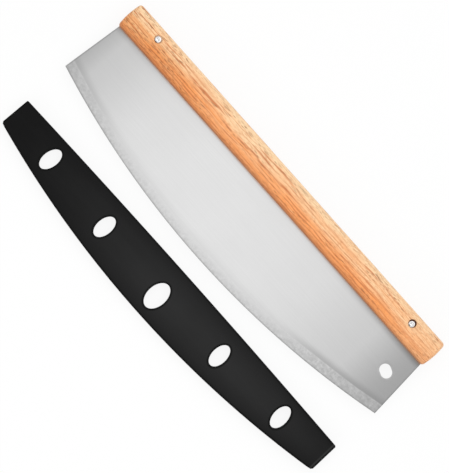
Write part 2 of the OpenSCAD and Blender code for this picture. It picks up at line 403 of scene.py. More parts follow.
def place_step(operation, *values):
    """One step of arithmetic on places. A length or a distance comes out as a number."""
    made = node(tree_of(*values), "ShaderNodeVectorMath", enumerate(values), operation=operation)
    return made.outputs["Value" if operation in ("LENGTH", "DISTANCE") else "Vector"]


def place_of(x, y, z=0.0):
    """The place with these three coordinates."""
    return node(tree_of(x, y, z), "ShaderNodeCombineXYZ", {"X": x, "Y": y, "Z": z}).outputs[0]


def parts_of(place):
    """The X, Y and Z of a place."""
    return node(tree_of(place), "ShaderNodeSeparateXYZ", {0: place}).outputs


def grey(level):
    """A colour with like red, green and blue."""
    return level, level, level


def blend(share, first, second, how="MIX"):
    """Mixes two colours, each a socket or a triple: a share of 0 gives the first and 1 the second."""
    made = node(tree_of(share, first, second), "ShaderNodeMix", {0: share, 6: first, 7: second},
                data_type="RGBA", blend_type=how)
    return made.outputs[2]


def blend_value(share, first, second):
    """Mixes two numbers in the same way."""
    return node(tree_of(share, first, second), "ShaderNodeMix", {0: share, 2: first, 3: second}).outputs[0]


def ramp(value, start, end, low=0.0, high=1.0):
    """Carries a value that runs from start to end over to low and high, with soft ends, and no further."""
    made = node(tree_of(value), "ShaderNodeMapRange", {
        "Value": value, "From Min": start, "From Max": end, "To Min": low, "To Max": high},
        interpolation_type="SMOOTHSTEP")
    return made.outputs[0]


def noise(place, detail, roughness=0.5):
    """Cloudy noise with lumps about one step of the place wide: its colour, and its value as Fac."""
    return node(tree_of(place), "ShaderNodeTexNoise", {
        "Vector": place, "Scale": 1.0, "Detail": detail, "Roughness": roughness}).outputs


def effect(name, **numbers):
    """Starts a shader node group of that name. It takes a place, and numbers with these start values."""
    tree = bpy.data.node_groups.new(name, "ShaderNodeTree")
    tree.interface.new_socket("Place", in_out="INPUT", socket_type="NodeSocketVector")
    for label, value in numbers.items():
        label = label.replace("_", " ")
        socket = tree.interface.new_socket(label, in_out="INPUT", socket_type="NodeSocketFloat")
        socket.default_value = value
    return tree, tree.nodes.new("NodeGroupInput").outputs


def give(tree, label, value):
    """Ends a shader node group with the one value that it puts out."""
    tree.interface.new_socket(label, in_out="OUTPUT", socket_type="NodeSocketFloat")
    feed(tree.nodes.new("NodeGroupOutput").inputs[label], value)
    return tree


def use(group, place, **numbers):
    """Places a group where its place is. Each number goes by its label, with spaces as low lines."""
    inputs = {label.replace("_", " "): value for label, value in numbers.items()}
    return node(tree_of(place), "ShaderNodeGroup", {"Place": place, **inputs}, node_tree=group).outputs[0]


def drawn_group():
    """Streaks drawn out along X: noise whose places are divided by a length along X and a width across."""
    tree, given = effect("drawn_streaks", Length=30.0, Width=1.0, Detail=3.0)
    size = place_of(given["Length"], given["Width"], given["Width"])
    cloud = noise(place_step("DIVIDE", given["Place"], size), given["Detail"], 0.6)
    return give(tree, "Streak", cloud["Fac"])


def patches_group():
    """Soft patches as handling, polishing and uneven stock leave them: slow noise spread to 0 to 1."""
    tree, given = effect("soft_patches", Size=20.0, Contrast=0.25)
    cloud = noise(place_step("MULTIPLY", given["Place"], over(1.0, given["Size"])), 3.0, 0.55)
    spread = node(tree, "ShaderNodeMapRange", {
        "Value": cloud["Fac"], "From Min": minus(0.5, given["Contrast"]),
        "From Max": plus(0.5, given["Contrast"])})
    return give(tree, "Patch", spread.outputs[0])


def tooth_group():
    """Fine tooth of a surface, for bump and roughness: small noise over still smaller noise."""
    tree, given = effect("fine_tooth", Size=0.5)
    cloud = noise(place_step("MULTIPLY", given["Place"], over(1.0, given["Size"])), 2.0, 0.7)
    return give(tree, "Tooth", cloud["Fac"])


drawn_streaks = drawn_group()
soft_patches = patches_group()
fine_tooth = tooth_group()


def new_material(name):
    """A material, its shader, and the place on the piece in millimetres."""
    material = bpy.data.materials.new(name)
    material.use_nodes = True
    on_piece = node(material.node_tree, "ShaderNodeTexCoord").outputs["Object"]
    place = place_step("MULTIPLY", on_piece, (1 / MM, 1 / MM, 1 / MM))
    return material, material.node_tree.nodes["Principled BSDF"], place


def surface(shader, colour, roughness, height, depth, **others):
    """Feeds a shader. height runs from 0 to 1 and stands for a depth in mm. others are plain values, by
    label with spaces as low lines."""
    bump = node(tree_of(height), "ShaderNodeBump", {
        "Height": height, "Strength": 1.0, "Distance": depth * MM})
    feed(shader.inputs["Base Color"], colour)
    feed(shader.inputs["Roughness"], roughness)
    feed(shader.inputs["Normal"], bump.outputs[0])
    for label, value in others.items():
        feed(shader.inputs[label.replace("_", " ")], value)


def waved(start, scale, swing):
    """Moves places up, down and across by noise that is as long and as wide as scale says."""
    slow = place_step("MULTIPLY", start, [1 / size for size in scale])
    centred = place_step("SUBTRACT", noise(slow, 2.0)["Color"], (0.5, 0.5, 0.5))
    return place_step("MULTIPLY_ADD", centred, (0, swing, swing), start)


def pore_dashes(grain, length, width, shift):
    """Pores: the nearest of scattered points in space squeezed along X, kept within a short reach."""
    squeezed = place_step("MULTIPLY_ADD", grain, (1 / length, 1 / width, 1 / width), (shift, shift, shift))
    cells = node(tree_of(grain), "ShaderNodeTexVoronoi", {"Vector": squeezed, "Scale": 1.0})
    return ramp(cells.outputs["Distance"], PORE_REACH, 0.45 * PORE_REACH)


def sink_shade(x, above):
    """Painted shadow and painted light inside the counterbores: dark below and pale above in the left
    one, and dark above in the right one.
    """
    left = blend(ramp(above, -2.9, -1.9), (0.12, 0.06, 0.035), (0.90, 0.66, 0.45))
    right = blend(ramp(above, -0.6, 1.2), (0.66, 0.42, 0.26), (0.13, 0.04, 0.015))
    return blend(ramp(x, -40.0, 40.0), left, right)


def wood_material():
    """Oiled hardwood: paler towards the top and darker towards the blade, partly as sapwood and heartwood
    and partly as painted light and painted shade, with wavy bands. Fine dark growth lines go by the sine
    of the distance from a pith below the bar, are broken along the grain and fade towards the right end.
    Short dark flecks lie all over it, and open pores are dark dashes that gather in places. The left end
    is oilier, painted shade darkens the lip over the blade and the underside beside it, and the
    counterbores carry painted shadow and painted light."""
    material, shader, place = new_material("oiled_hardwood")
    broad = waved(place, (48, 14, 14), 3.8)
    grain = waved(broad, (20, 5, 5), 0.9)
    bands = use(drawn_streaks, broad, Length=150.0, Width=4.2, Detail=2.0)
    fibres = use(drawn_streaks, grain, Length=11.0, Width=0.7, Detail=2.0)
    broken = use(drawn_streaks, grain, Length=16.0, Width=1.0, Detail=1.0)
    flecks = use(drawn_streaks, grain, Length=3.2, Width=0.7, Detail=1.0)
    gather = use(drawn_streaks, broad, Length=30.0, Width=4.6, Detail=1.0)
    patch = use(soft_patches, place, Size=38.0, Contrast=0.22)
    x, y, z = parts_of(place)
    height = parts_of(broad)[1]

    crowded = plus(gather, ramp(x, -40.0, -150.0, 0.0, 0.09))
    pores = most(pore_dashes(grain, 10.0, 1.2, 0.0), pore_dashes(grain, 6.0, 1.0, 7.3))
    pores = times(times(pores, ramp(crowded, 0.45, 0.60)), ramp(fibres, 0.3, 0.62, 0.4, 1.0))
    # Heartwood share by height: partly the wood's own tone, partly painted light on the top and painted
    # shade towards the blade
    heart_and_shade = ramp(height, 11.0, -9.5)
    from_pith = place_step("LENGTH", place_step("MULTIPLY_ADD", grain, (0, 1, 1), ABOVE_PITH))
    turns = times_plus(from_pith, 2 * math.pi / RING_GAP, times(bands, 14.0))
    threads = times(ramp(step("SINE", turns), 0.0, 0.95), ramp(broken, 0.36, 0.5))
    threads = times(threads, ramp(times_plus(heart_and_shade, 0.16, crowded), 0.42, 0.60, 0.45, 1.0))
    threads = times(threads, ramp(x, 80.0, 150.0, 0.84, 0.42))
    heart_and_shade = plus(heart_and_shade, times(minus(bands, 0.5), 1.3), clamp=True)
    heart_and_shade = plus(heart_and_shade, times(minus(patch, 0.5), 0.3), clamp=True)
    heart_and_shade = blend_value(ramp(x, 120.0, 170.0, 0.0, 0.5), heart_and_shade, 0.42)

    colour = blend(heart_and_shade, LIT_SAPWOOD, SHADED_HEARTWOOD)
    colour = blend(ramp(fibres, 0.60, 0.34, 0.0, 0.34), colour, DARK_FIBRE)
    colour = blend(ramp(fibres, 0.56, 0.75, 0.0, 0.35), colour, PALE_FIBRE)
    colour = blend(threads, colour, GROWTH_LINE)
    colour = blend(ramp(flecks, 0.47, 0.33, 0.0, 0.42), colour, FLECK)
    colour = blend(times(pores, 0.72), colour, PORE)
    oily = times(ramp(x, -70.0, -135.0, 0.0, 0.42), ramp(height, 7.0, -3.0))
    colour = blend(oily, colour, OILY, "MULTIPLY")
    # Painted shade along the lip over the blade and on the underside next to it
    lip = times(ramp(y, -4.5, -13.5, 0.0, 0.42), ramp(x, 150.0, 90.0, 0.3, 1.0))
    colour = blend(lip, colour, LIP_SHADE)
    colour = blend(ramp(y, -9.6, -12.0, 0.0, 0.5), colour, UNDERSIDE_SHADE)

    # Counterbores: within their walls about the rivets, and deeper than their worn rims. Painted shadow and
    # painted light go there.
    above = minus(y, RIVET_Y)
    from_rivet = hypotenuse(minus(size_of(x), RIVET_X), above)
    sunk = times(ramp(from_rivet, 4.6, 4.0), ramp(size_of(minus(z, MID_Z)), 9.35, 8.9))
    colour = blend(sunk, colour, sink_shade(x, above))

    tooth = use(fine_tooth, place, Size=0.4)
    rough = plus(0.42, times(pores, 0.2))
    rough = plus(rough, times(patch, 0.1))
    rough = plus(rough, times(tooth, 0.08))
    relief = times_plus(pores, -0.8, times(fibres, 0.35))
    surface(shader, colour, rough, times_plus(tooth, 0.12, relief), 0.16, IOR=1.42)
    return material


wood_bar.data.materials.append(wood_material())


# Blade: one blank of 1.8 mm stainless sheet, satin polished, whose curved edge is ground from both faces.
# Its plain tang stands in the handle's kerf. The oval hole at the right end is for hanging it up.

EDGE_R = 724.0
EDGE_MID_Y = 639.2        # height of the centre of the edge's arc
BEVEL_R = EDGE_R - 7.5    # where the ground bevel starts
HALF_STEEL = 0.9
HALF_EDGE = 0.1
CORNER = (177.5, -62.704)           # between the edge and the right end
LEAN = math.tan(math.radians(5.4))  # of both ends, which come in towards the handle
TANG_TOP = 7.95
DEBURRED = 0.22           # rounding of the blank's cut edges
SHOULDER = 0.04           # softness of the bevel's start, as a share of its width
HOLE = (159.0, -35.0)
HOLE_L = 11.6
HOLE_W = 9.1
HOLE_TURN = math.radians(-22)
FACE_COLUMNS = 40         # columns of the face's grid among which the holes lie
# Colour of the painted reflection of the wood in the steel under the handle
REFLECTED_WOOD = (0.46, 0.27, 0.16)


def oval(angles, length, width, turn):
    """Distance from the middle of a stadium to its rim, in each direction: straight sides, round ends."""
    c = np.abs(np.cos(angles - turn))
    s = np.abs(np.sin(angles - turn))
    half = (length - width) / 2
    radius = width / 2
    side = radius / np.maximum(s, 1e-9)
    cap = half * c + np.sqrt(np.maximum(radius ** 2 - (half * s) ** 2, 0))
    return np.where(side * c <= half, side, cap)


def blade_plan():
    """The blade's face as a grid of (x, y): shares of the width along, and down it first shares of the
    way from the tang's top to the bevel, then radii of the edge's arc. Both end lines lean the same way.
    Stations are close where the holes are."""
    right = stations(0, (0.8116, 28), (0.9578, 28), (1, 6))
    across = np.concatenate([-right[:0:-1], right])[:, None]
    down = stations(0, (0.012, 1), (0.125, 12), (0.535, 9), (0.74, 14), (1, 7))
    radii = stations(BEVEL_R + 0.25, (BEVEL_R + 0.6, 1), (BEVEL_R + 1.2, 1), (EDGE_R - 0.05, 8))
    top = TANG_TOP - DEBURRED
    x = across * CORNER[0] + 0 * np.concatenate([down, radii])
    for _ in range(8):
        face_x = x[:, :len(down)]
        low_y = EDGE_MID_Y - np.sqrt(BEVEL_R ** 2 - face_x ** 2)
        face_y = top + down * (low_y - top)
        bevel_y = EDGE_MID_Y - np.sqrt(radii ** 2 - x[:, len(down):] ** 2)
        y = np.concatenate([face_y, bevel_y], axis=1)
        x = across * (CORNER[0] - (y - CORNER[1]) * LEAN - DEBURRED)
    return x, y


def steel_half(x, y):
    """Half the thickness of the steel: full on the face, and down to the edge over the ground bevel, which
    starts with a soft shoulder."""
    into = np.clip((np.hypot(x, y - EDGE_MID_Y) - BEVEL_R) / (EDGE_R - BEVEL_R), 0, 1)
    eased = into - SHOULDER * (1 - np.exp(-into / SHOULDER))
    return HALF_STEEL + (HALF_EDGE - HALF_STEEL) * np.clip(eased / (1 - SHOULDER), 0, 1)


def turned_over(rings):
    """The same rings on the back face, in the other order."""
    return [ring * (1, 1, -1) + (0, 0, 2 * MID_Z) for ring in rings[::-1]]


def hole_rings(spot, radius_at, edge):
    """Rings from the border of a block in to a hole's rounded rim. radius_at gives the hole's radius in
    each direction."""
    angles = angles_about(spot, edge)
    radius = radius_at(angles)
    start = around(spot, radius + DEBURRED, angles, MID_Z + HALF_STEEL)
    rings = [(edge + start) / 2, start]
    for sine, cosine in quarter(3):
        down = DEBURRED * (1 - cosine)
        rings.append(around(spot, radius + DEBURRED * (1 - sine), angles, MID_Z + HALF_STEEL - down))
    return rings


def rim_rings(edge, side_of):
    """Each point of the outline moves out along its side's own direction while z turns to the middle. The
    sides are the left end, the edge's arc, the right end and the tang's top."""
    slope = math.atan(LEAN)
    low_x = edge[:, 0] / EDGE_R
    to_edge = np.column_stack([low_x, -np.sqrt(1 - low_x ** 2)])
    ways = [(-math.cos(slope), -math.sin(slope)), to_edge, (math.cos(slope), -math.sin(slope)), (0, 1)]
    out = np.zeros((len(edge), 2))
    for side, way in enumerate(ways):
        here = side_of == side
        out[here] = np.broadcast_to(way, out.shape)[here]
    reach = np.where(side_of == 1, 0.05, DEBURRED)
    move = out * reach[:, None]
    corners = np.searchsorted(side_of, np.arange(4))
    move[corners] += np.roll(move, 1, axis=0)[corners]
    thick = edge[:, 2] - MID_Z
    rings = []
    for sine, cosine in quarter(3):
        drop = np.minimum(reach, 0.7 * thick) * (1 - cosine)
        outline = edge[:, :2] + move * sine
        outline[:, 0] = np.clip(outline[:, 0], 0.01 - CORNER[0], CORNER[0] - 0.01)
        rings.append(np.column_stack([outline, MID_Z + thick - drop]))
    return rings


def blade_shell():
    """The face twice, once each side of the middle plane, joined by a rounded rim round the outline and
    by a rounded sleeve in each hole."""
    shell = Shell()
    x, y = blade_plan()
    half = steel_half(x, y)
    faces = [np.stack([x, y, MID_Z + side * half], axis=-1) for side in (1, -1)]
    front, back = (shell.place(face) for face in faces)

    def block_round(spot, reach_x, reach_y, column):
        """The block of cells that clears a hole by its half sizes, reach_x and reach_y: found by the
        places along a column that crosses the hole, and by those down the block's first row."""
        rows = np.searchsorted(x[:, column], [spot[0] - reach_x, spot[0] + reach_x])
        columns = np.searchsorted(-y[rows[0], :FACE_COLUMNS], [-(spot[1] + reach_y), -(spot[1] - reach_y)])
        return rows[0] - 1, rows[1], columns[0] - 1, columns[1]

    holes = [(HOLE, block_round(HOLE, 7.2, 6.6, 29), lambda a: oval(a, HOLE_L, HOLE_W, HOLE_TURN))]
    for side in (-1, 1):
        spot = (side * RIVET_X, RIVET_Y)
        holes.append((spot, block_round(spot, 3.6, 3.4, 6), lambda a: SHANK_R + 0 * a))
    for spot, block, radius_at in holes:
        from_front = border(front, block)
        rings = hole_rings(spot, radius_at, faces[0].reshape(-1, 3)[from_front])
        shell.bridge(from_front, rings + turned_over(rings), border(back, block))
    blocks = [block for _, block, _ in holes]
    shell.skin(front, blocks)
    shell.skin(back, blocks)

    last_row, last_column = x.shape[0] - 1, x.shape[1] - 1
    whole = (0, last_row, 0, last_column)
    side_of = np.repeat(np.arange(4), [last_column, last_row, last_column, last_row])
    from_front = border(front, whole)
    rings = rim_rings(faces[0].reshape(-1, 3)[from_front], side_of)
    shell.bridge(from_front, rings + turned_over(rings), border(back, whole))
    return shell


steel_blade = blade_shell().piece("steel_blade", crease=30)
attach(steel_blade, "knife")
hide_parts("blade")


def blade_material():
    """Satin stainless: faint polishing lines along X and smudges on the face. The bevel has short wheel
    marks across it. Towards the ends it is coarse and pale below a darker band, and it melts into the
    face between them. Painted shade darkens both ends of the face and of the bevel, the cutting edge,
    the cut ends and the corner under the handle, where a brown line is a painted reflection of the
    wood."""
    material, shader, place = new_material("satin_steel")
    x, y, z = parts_of(place)
    fall = minus(EDGE_MID_Y, y)
    radius = hypotenuse(x, fall)
    along_edge = place_of(radius, times(over(x, fall), EDGE_R), z)
    lines = use(drawn_streaks, place, Length=45.0, Width=0.22, Detail=3.0)
    wheel = use(drawn_streaks, along_edge, Length=5.0, Width=0.3, Detail=3.0)
    mottle = use(soft_patches, place, Size=2.4, Contrast=0.2)
    smudge = use(soft_patches, place, Size=42.0, Contrast=0.24)
    tooth = use(fine_tooth, place, Size=0.35)

    # Where the finishes, the painted shade and the painted reflection lie, each as a share of 0 to 1
    # ends and sides: painted shade that darkens both ends of the blade, on the face and on the bevel
    ends = most(ramp(x, -145.0, -182.0, 0.0, 0.8), ramp(x, 115.0, 175.0))
    sides = most(ramp(x, -100.0, -165.0, 0.0, 0.3), ramp(x, 60.0, 140.0, 0.0, 0.2))
    ends = most(ends, sides)
    coarse = most(ramp(x, -100.0, -165.0, 0.0, 0.5), ramp(x, 75.0, 125.0))
    uneven = times_plus(coarse, 0.7, times(minus(smudge, 0.5), 0.8))
    rough_radius = plus(radius, uneven)
    crisp = ramp(rough_radius, BEVEL_R - 0.5, BEVEL_R + 0.6)
    bevel = blend_value(coarse, ramp(radius, BEVEL_R - 2.5, EDGE_R), crisp)
    belt = times(ramp(rough_radius, BEVEL_R - 6.5, BEVEL_R - 0.5), times_plus(coarse, 0.85, 0.25))
    belt = times(belt, minus(1.0, crisp))
    # Painted shade along the cutting edge (edge_line) and along the cut ends (cut)
    edge_line = ramp(radius, EDGE_R - 1.7, EDGE_R - 0.3)
    side = minus(CORNER[0], times_plus(y, LEAN, -CORNER[1] * LEAN))
    cut = ramp(minus(side, size_of(x)), 1.5, 0.3)
    # Painted shadow of the handle on the blade just below it
    corner = ramp(y, -18.0, -12.0)
    # Painted reflection of the wood, a brown line just under the handle
    wood_reflection = ramp(y, -13.7, -12.3)

    colour = blend(ramp(lines, 0.35, 0.65), grey(0.647), grey(0.682))
    colour = blend(times(smudge, 0.35), colour, grey(0.623))
    # Painted shade towards both ends
    colour = blend(times(ends, 0.8), colour, grey(0.346))
    colour = blend(times(belt, 0.46), colour, grey(0.281))
    pitted = blend_value(blend_value(coarse, 0.8, 1.0), 0.5, mottle)
    ground = blend(pitted, grey(0.507), grey(0.702))
    ground = blend(times(ramp(wheel, 0.6, 0.35), 0.3), ground, grey(0.40))
    ground = blend(times(ends, 0.40), ground, grey(0.37))
    colour = blend(bevel, colour, ground)
    shaded = times_plus(ends, 0.36, ramp(x, 55.0, 105.0, 0.04, 0.18))
    shaded = times_plus(coarse, 0.14, shaded)
    # Painted shade on the cutting edge, the cut ends and the corner under the handle
    edge_and_corner_shade = most(times(edge_line, 0.42), times(cut, 0.35))
    edge_and_corner_shade = most(edge_and_corner_shade, times(corner, shaded))
    colour = blend(edge_and_corner_shade, colour, grey(0.20))
    # Painted reflection of the wood in the corner under the handle
    colour = blend(times(wood_reflection, 0.4), colour, REFLECTED_WOOD)

    face_rough = times_plus(smudge, 0.04, times_plus(lines, 0.08, 0.30))
    rough = blend_value(bevel, face_rough, times_plus(mottle, 0.12, 0.34))
    relief = times_plus(tooth, 0.3, blend_value(bevel, lines, wheel))
    surface(shader, colour, rough, relief, 0.006, Metallic=1.0)
    return material


steel_blade.data.materials.append(blade_material())


# Rivets: two-piece aluminium rivets. The socket's tube comes in from the front, the solid pin is driven
# into it from the back, and both heads bear on the floors of the counterbores.

HEAD_R = 2.6
HEAD_H = 1.2
RIM_ROUND = 0.45
CROWN = 0.05              # height of the head's crown round its dimple
BOWL_R = 0.95
BOWL_DEEP = 0.42
TUBE_R = 2.0
TUBE_END = 3.1            # ends of tube, bore and pin, as heights over the handle's back
BORE_R = 1.35
BORE_END = 15.9
PIN_R = 1.3
PIN_END = 14.9

# Dark spots as (side, right and up from the rivet's axis, amount): the strong ones near the rims are
# painted shadow, the weaker ones lie in the dimples
DARK_SPOTS = [(-1, -0.45, 0.4, 0.5), (-1, 0.2, -2.3, 1), (1, -0.6, -1.7, 1), (1, 0.1, 0.3, 0.25)]


def turned(profile, spot, turns=48):
    """A profile of (radius, z) pairs carried once round an axis along Z, and closed where it meets it."""
    shell = Shell()
    angles = np.linspace(0, 2 * math.pi, turns + 1)[:-1]
    shell.sleeve([shell.place(around(spot, radius, angles, z)) for radius, z in profile])
    return shell


def head_profile(seat, way):
    """Half a rivet head from the middle of its dimple to its rim, as (radius, z) pairs: a bowl, a faint
    crown, a rim rounded over a quarter turn, and the flat underside."""
    bowl = np.linspace(0, 1, 7)
    crown = np.linspace(0, 1, 5)[1:]
    top = HEAD_H - CROWN
    flat_r = HEAD_R - RIM_ROUND
    points = np.concatenate([
        np.column_stack([BOWL_R * bowl, top - BOWL_DEEP * (1 - bowl ** 2) ** 1.5]),
        np.column_stack([BOWL_R + (flat_r - BOWL_R) * crown, top + CROWN * np.cos(math.pi / 2 * crown)]),
        (flat_r, top - RIM_ROUND) + RIM_ROUND * quarter(5),
        [(HEAD_R, 0.06), (HEAD_R - 0.06, 0)],
    ])
    points[:, 1] = seat + way * points[:, 1]
    return points


def rivet_socket(side):
    """The front head carried on into a tube that is open at the back, with a bore that ends in a cone."""
    seat = MID_Z + HEAD_SEAT
    tail = [(TUBE_R, seat), (TUBE_R, TUBE_END + 0.1), (TUBE_R - 0.1, TUBE_END), (BORE_R + 0.1, TUBE_END),
            (BORE_R, TUBE_END + 0.1), (BORE_R, BORE_END - 0.3), (0.4, BORE_END), (0, BORE_END)]
    return turned(np.concatenate([head_profile(seat, 1), tail]), (side * RIVET_X, RIVET_Y))


def rivet_pin(side):
    """The back head carried on into a solid pin with a rounded tip."""
    seat = MID_Z - HEAD_SEAT
    tail = [(PIN_R, seat), (PIN_R, PIN_END - 0.4), (PIN_R - 0.12, PIN_END - 0.12), (PIN_R - 0.4, PIN_END),
            (0, PIN_END)]
    return turned(np.concatenate([head_profile(seat, -1), tail]), (side * RIVET_X, RIVET_Y))


def rivet_material():
    """Bright aluminium: scuffs, a matt film, painted shadow near the heads' rims and darker spots in the
    dimples. The steep sides of the heads carry a painted reflection of the wood's colour."""
    material, shader, place = new_material("rivet_aluminium")
    normal = node(material.node_tree, "ShaderNodeTexCoord").outputs["Normal"]
    scuffs = use(drawn_streaks, place, Length=1.8, Width=0.12, Detail=3.0)
    film = use(soft_patches, place, Size=1.1, Contrast=0.22)
    tooth = use(fine_tooth, place, Size=0.12)
    level = place_step("MULTIPLY", place, (1, 1, 0))
    dark_spots = 0.0
    for side, right, up, amount in DARK_SPOTS:
        away = place_step("DISTANCE", level, (side * RIVET_X + right, RIVET_Y + up, 0))
        dark_spots = most(dark_spots, ramp(away, 1.0, 0.4, 0.0, amount))
    colour = blend(film, (0.83, 0.832, 0.837), (0.90, 0.901, 0.904))
    colour = blend(times(ramp(scuffs, 0.55, 0.36), 0.3), colour, (0.6, 0.6, 0.61))
    # Painted shadow near the rims, and darker spots in the dimples
    colour = blend(times(dark_spots, 0.85), colour, (0.20, 0.17, 0.15))
    # Painted reflection of the counterbore's wood on the heads' steep sides
    colour = blend(ramp(size_of(parts_of(normal)[2]), 0.35, 0.8), (0.66, 0.52, 0.41), colour)
    rough = times_plus(film, 0.12, 0.16)
    surface(shader, colour, rough, times_plus(tooth, 0.4, scuffs), 0.008, Metallic=1.0)
    return material


rivet_metal = rivet_material()
for side, where in ((-1, "left"), (1, "right")):
    for half, shell in (("socket", rivet_socket(side)), ("pin", rivet_pin(side))):
        piece = shell.piece(where + "_turned_" + half, crease=50)
        piece.data.materials.append(rivet_metal)
        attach(piece, "knife")
        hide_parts(where + "_rivet_" + half)


# Sheath: one black moulding, two thin walls over a slot that is open at the top and at both ends.
# Five oval windows go through both walls, and ribs between them grip the blade. It lies pulled off here.

WALL_OUT = 3.2            # faces of the wall, from the middle plane
WALL_IN = 1.2
TOP_Y = -99.8
TOP_SAG = 2 * 8752.6      # top edge: it falls by x squared over this
BELLY_R = 838.0
BELLY_MID_Y = 691.42
FLOOR = 2.2
FLOOR_CLIMB = 1.6         # how far the slot's floor climbs near the ends, and over which stretch of X
CLIMB_FROM = 163.0
CLIMB_OVER = 11.0
SLOT_ROUND = 0.4
SHEATH_END = 177.5
LAST_STRAIGHT = 150.0     # from here on the stations take up the ends' lean
SHEATH_LEAN = math.tan(math.radians(1.8))
BELLY_END_Y = BELLY_MID_Y - math.sqrt(BELLY_R ** 2 - SHEATH_END ** 2)
RIM = 1.0                 # rounding of the belly, of both edges of the lip and of the slot's ends
LIP_IN = 0.35
LIP_OUT = 0.7
SLOT_END_ROUND = 0.25
WINDOW_GAP = 65.9         # from one window to the next
MIDDLE_WINDOW = (15.2, 23.8)
SIDE_WINDOW = (11.8, 20.0)
WINDOWS = [(n * WINDOW_GAP, *(SIDE_WINDOW if n else MIDDLE_WINDOW)) for n in range(-2, 3)]
WINDOW_FAN = math.radians(3.1) / WINDOW_GAP          # turn for each mm from the middle
MIDDLE_LOWER = 4.0        # how far the middle window lies below half way
WINDOW_RIM = 0.55
SLOT_RIM = 0.2            # rounding of a window's edge inside the slot
WINDOW_ROOM = (1.7, 1.0)  # from a window to the border of its block of cells, along X and Y
RIBS = (0.5 * WINDOW_GAP, 1.5 * WINDOW_GAP)
RIB_HALF = 1.5
RIB_SLOPE = 0.3
RIB_BASE = 1.85           # half the rib's width at its foot
RIB_LOW_Y = -127.0
RIB_HIGH_Y = -104.2
RIB_RUN_OUT = 0.8         # slope at the rib's lower and upper end
RIB_STAND = 0.25
WALL_STEPS = 40


def top_at(x):
    """Height of the sheath's top edge, a very flat bow."""
    return TOP_Y - x * x / TOP_SAG


def belly_at(x):
    """Height of the belly, an arc."""
    return BELLY_MID_Y - np.sqrt(BELLY_R ** 2 - x * x)


def window_y(x):
    """Height of a window's middle: half way between the top edge and the belly, and lower in the middle."""
    return (top_at(x) + belly_at(x)) / 2 - (0 if x else MIDDLE_LOWER)


def sheath_sections():
    """Outer and inner line of the U-shaped section, with equally many points. Each point is a share of the
    way from the top edge to the belly, a fixed distance up from there, its z, and its outward direction
    as (y, z). The outer line starts on the lip's inner edge, the inner one runs down the slot."""

    def line(*columns):
        """Points of a section from the five columns, each of them an array or one number for all."""
        return np.column_stack(np.broadcast_arrays(*columns))

    def mirrored(half):
        """Adds the back half, which is the front half with z turned over, in the other order."""
        return np.vstack([half, (half * (1, 1, -1, 1, -1))[-2::-1]])

    sine, cosine = np.vstack([[0, 1], quarter(3)]).T
    wall = np.linspace(0, 1, WALL_STEPS + 1)
    lip_in = line(0, LIP_IN * (sine - 1), WALL_IN + LIP_IN * (1 - cosine), sine, -cosine)
    lip_out = line(0, LIP_OUT * (cosine - 1), WALL_OUT - LIP_OUT * (1 - sine), cosine, sine)
    spare = np.linspace(lip_out[0, 2] - lip_in[-1, 2], 0, 3)[1:-1]
    flat = line(0, 0, lip_out[0, 2] - spare, 1, 0)
    outer_wall = line(wall, RIM * wall - LIP_OUT * (1 - wall), WALL_OUT, 0, 1)
    rim = line(1, RIM * (1 - sine), WALL_OUT - RIM * (1 - cosine), -sine, cosine)
    under = line(1, 0, np.linspace(WALL_OUT - RIM, 0, 4)[1:], -1, 0)
    outer = np.vstack([lip_in, flat, lip_out, outer_wall[1:], rim[1:], under])
    lip_count = len(lip_in) + len(flat) + len(lip_out) - 1

    share = stations(0, (0.03, lip_count), (1, WALL_STEPS))
    inner_wall = line(share, (FLOOR + SLOT_ROUND) * share - LIP_IN * (1 - share), WALL_IN, 0, -1)
    sine, cosine = quarter(3).T
    corner = line(1, FLOOR + SLOT_ROUND * (1 - sine), WALL_IN - SLOT_ROUND * (1 - cosine), sine, -cosine)
    base = line(1, FLOOR, np.linspace(WALL_IN - SLOT_ROUND, 0, 4)[1:], 1, 0)
    inner = np.vstack([inner_wall, corner, base])
    return mirrored(outer), mirrored(inner), lip_count


def sheath_stations():
    """Places along X, with close stations at the windows and at the sides of the ribs."""
    middle_reach = 9.4
    side_reach = 7.8
    runs = [(middle_reach, 10)]
    for rib in RIBS:
        window = rib + WINDOW_GAP / 2
        runs += [(rib - RIB_HALF - RIB_SLOPE, 6), (rib - RIB_HALF, 1), (rib + RIB_HALF, 3),
                 (rib + RIB_HALF + RIB_SLOPE, 1), (window - side_reach, 6), (window + side_reach, 17)]
    return stations(0, *runs, (LAST_STRAIGHT, 4))


def carried(section, rounding):
    """The right half of a skin, as the section carried along X while its height follows top edge and belly.
    Near the end x takes up the end's lean, and in the last steps every point moves into the material while
    it rounds the corner."""
    share, up, z, out_y, out_z = section.T
    rounding = rounding + 0 * z
    on_floor = (share > 0.99) & (up > RIM + 0.5)

    def height(x):
        """Height of each point at its own x. The slot's floor climbs a little near the ends."""
        near = np.clip((np.abs(x) - CLIMB_FROM) / CLIMB_OVER, 0, 1)
        climb = FLOOR_CLIMB * on_floor * near * near * (3 - 2 * near)
        return top_at(x) * (1 - share) + belly_at(x) * share + up + climb

    x_end = SHEATH_END + 0 * z
    for _ in range(4):
        x_end = SHEATH_END - (height(x_end) - BELLY_END_Y) * SHEATH_LEAN
    body_end = x_end - rounding
    last = LAST_STRAIGHT + np.linspace(0, 1, 8)[1:, None] * (body_end - LAST_STRAIGHT)
    body = np.concatenate([sheath_stations()[:, None] + 0 * z, last])
    corner = quarter(7)
    x = np.concatenate([body, body_end + rounding * corner[:, :1]])
    into = np.concatenate([0 * body, rounding * (1 - corner[:, 1:])])
    return np.stack([x, height(x) - into * out_y, z - into * out_z], axis=-1)


